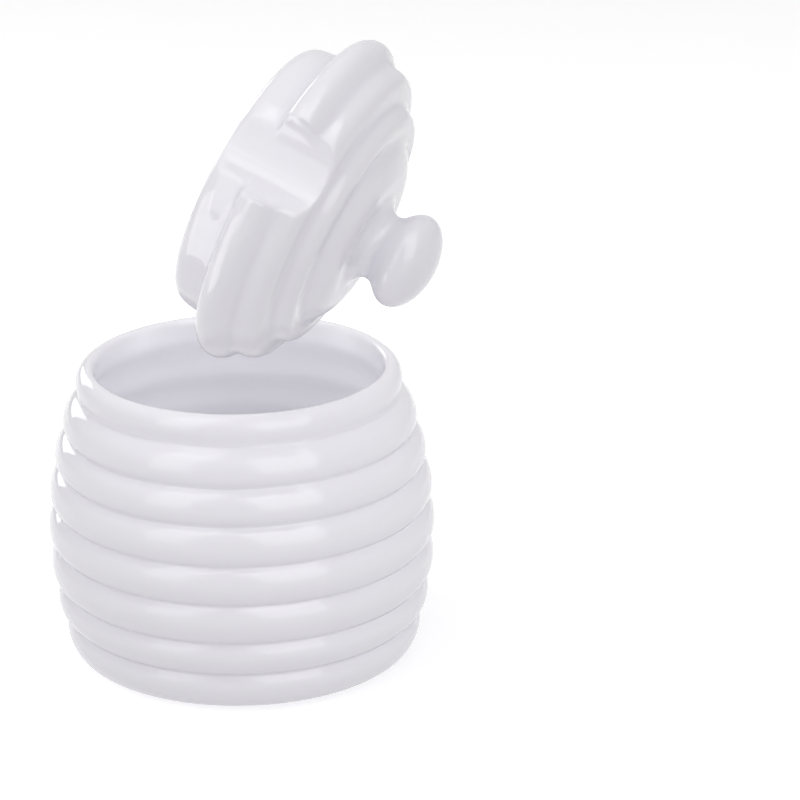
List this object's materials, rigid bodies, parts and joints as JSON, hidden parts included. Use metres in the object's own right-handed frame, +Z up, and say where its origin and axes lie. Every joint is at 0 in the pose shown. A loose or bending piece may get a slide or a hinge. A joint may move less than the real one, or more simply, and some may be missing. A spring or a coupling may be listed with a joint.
{
  "type": "honey pot",
  "caption": "Ribbed beehive-shaped honey pot with a loose domed lid held open and tipped above it; ball knob, locating collar and a notch for a dipper.",
  "frame": {"origin": "middle of the pot's foot ring, on the table plane", "axes": "+Z up along the pot's axis; azimuth 0 looks along +Y, so -Y is the side that faces the main camera; +X to its right"},
  "size_m": [0.1022, 0.1467, 0.1769],
  "materials": {
    "glaze": "gloss"
  },
  "bodies": {
    "pot": {"pot": "glaze"},
    "lid": {"lid": "glaze"}
  },
  "joints": [
    {"name": "lid_swing", "type": "hinge", "parent": "pot", "child": "lid", "pos_m": [0.0203, -0.0379, 0.0965], "axis": [0.7524, 0.5669, 0.3355], "range_deg": [-125.8, 0]}
  ]
}
